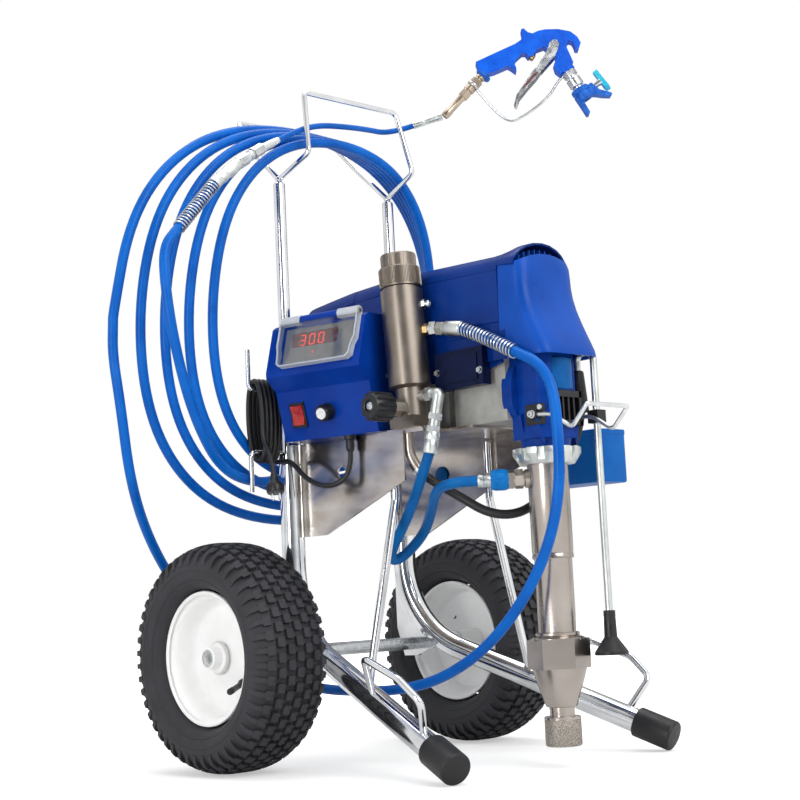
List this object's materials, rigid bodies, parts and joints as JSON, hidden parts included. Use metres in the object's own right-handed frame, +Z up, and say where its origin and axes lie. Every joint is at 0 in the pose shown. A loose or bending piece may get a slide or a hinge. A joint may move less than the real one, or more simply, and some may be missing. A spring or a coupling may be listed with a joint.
{
  "type": "airless paint sprayer",
  "caption": "Electric airless paint sprayer on a two-wheeled chromed cart: an upright pump hangs in front of a covered motor, and a wound hose on a rack leads to a spray gun.",
  "frame": {"origin": "middle of the base on the floor, of the box round everything but the hoses, the cord and what is on the cord", "axes": "+Z up; -Y towards the pump at the front; +X to the side with the toolbox, along the axle"},
  "size_m": [0.7873, 0.7064, 1.1707],
  "materials": {
    "chrome_frame": "polished",
    "tyre_rubber": "matt",
    "rim_white": "gloss",
    "steel": "brushed",
    "black_rubber": "satin",
    "black_plastic": "satin",
    "plate_steel": "brushed",
    "motor_grey": "satin",
    "casting_blue": "gloss",
    "cover_blue": "gloss",
    "box_blue": "gloss",
    "nickel": "satin",
    "silver": "satin",
    "clear_lid": "clear",
    "red_plastic": "gloss",
    "hose_blue": "satin",
    "gun_blue": "gloss",
    "guard_blue": "satin",
    "tip_teal": "satin",
    "tool_blue": "satin"
  },
  "bodies": {
    "sprayer": {"axle": "steel", "frame_left": "chrome_frame", "frame_right": "chrome_frame", "foot_caps": "black_rubber", "handle_tubes": "chrome_frame", "hose_rack": "chrome_frame", "struts": "chrome_frame", "pail_rails": "chrome_frame", "cord_wrap": "chrome_frame", "side_plate_left": "plate_steel", "side_plate_right": "plate_steel", "motor_tray": "plate_steel", "toolbox": "tool_blue", "motor": "motor_grey", "gear_housing": "motor_grey", "drive_housing": "casting_blue", "motor_cover": "cover_blue", "front_cover": "cover_blue", "pump_cylinder": "nickel", "jam_nut": "silver", "foot_valve": "nickel", "strainer": "nickel", "pump_outlet": "nickel", "pail_hook": "chrome_frame", "drain_tube": "silver", "drain_cone": "black_plastic", "filter_manifold": "nickel", "filter_cap": "nickel", "manifold_fittings": "silver", "prime_valve": "nickel", "control_box": "box_blue", "cable_gland": "black_plastic", "connecting_hose": "hose_blue", "drain_hose": "black_rubber", "hose_coil": "hose_blue", "power_coil": "black_rubber", "hose_feed": "hose_blue", "hose_tail": "hose_blue", "power_lead": "black_rubber", "power_tail": "black_rubber", "power_plug": "black_plastic", "gun_body": "gun_blue", "gun_metal": "silver", "tip_guard": "guard_blue", "whip_hose": "hose_blue", "hose_ends": "silver"},
    "wheel_left": {"tyre_left": "tyre_rubber", "rim_left": "rim_white"},
    "wheel_right": {"tyre_right": "tyre_rubber", "rim_right": "rim_white"},
    "lid": {"display_lid": "clear_lid"},
    "switch": {"power_switch": "red_plastic"},
    "pressure": {"pressure_knob": "black_plastic"},
    "prime": {"prime_knob": "black_plastic"},
    "piston": {"piston_rod": "steel", "connecting_rod": "steel"},
    "crank": {"crankshaft": "steel"},
    "trigger": {"gun_trigger": "gun_blue"},
    "tip": {"spray_tip": "tip_teal"}
  },
  "joints": [
    {"name": "wheel_left_turn", "type": "hinge", "parent": "sprayer", "child": "wheel_left", "pos_m": [-0.29125, 0.1815, 0.165], "axis": [1, 0, 0], "continuous": true},
    {"name": "wheel_right_turn", "type": "hinge", "parent": "sprayer", "child": "wheel_right", "pos_m": [0.20875, 0.1815, 0.165], "axis": [1, 0, 0], "continuous": true},
    {"name": "display_lid_hinge", "type": "hinge", "parent": "sprayer", "child": "lid", "pos_m": [-0.19772, 0.06571, 0.652], "axis": [-0.2079, 0.9781, 0], "range_deg": [0, 105]},
    {"name": "power_switch_rock", "type": "hinge", "parent": "sprayer", "child": "switch", "pos_m": [-0.19378, 0.11868, 0.514], "axis": [0.2079, -0.9781, 0], "range_deg": [-8, 8]},
    {"name": "pressure_knob_turn", "type": "hinge", "parent": "sprayer", "child": "pressure", "pos_m": [-0.18185, 0.06499, 0.514], "axis": [-0.9466, -0.2012, -0.2519], "range_deg": [0, 270]},
    {"name": "prime_knob_turn", "type": "hinge", "parent": "sprayer", "child": "prime", "pos_m": [-0.19325, -0.0615, 0.505], "axis": [-1, 0, 0], "range_deg": [0, 90]},
    {"name": "piston_stroke", "type": "slide", "parent": "sprayer", "child": "piston", "axis": [0, 0, 1], "range_m": [-0.026, 0]},
    {"name": "crankshaft_turn", "type": "hinge", "parent": "sprayer", "child": "crank", "pos_m": [-0.04125, -0.2045, 0.58], "axis": [0, 1, 0], "continuous": true},
    {"name": "trigger_pull", "type": "hinge", "parent": "sprayer", "child": "trigger", "pos_m": [0.28175, -0.0145, 1.141], "axis": [0.6865, 0.7272, 0], "range_deg": [0, 14], "stiffness_Nm_per_rad": 0.6, "springref_deg": -17.19},
    {"name": "spray_tip_turn", "type": "hinge", "parent": "sprayer", "child": "tip", "pos_m": [0.32038, -0.05097, 1.06224], "axis": [0.6029, -0.5691, 0.5592], "range_deg": [0, 180]}
  ]
}
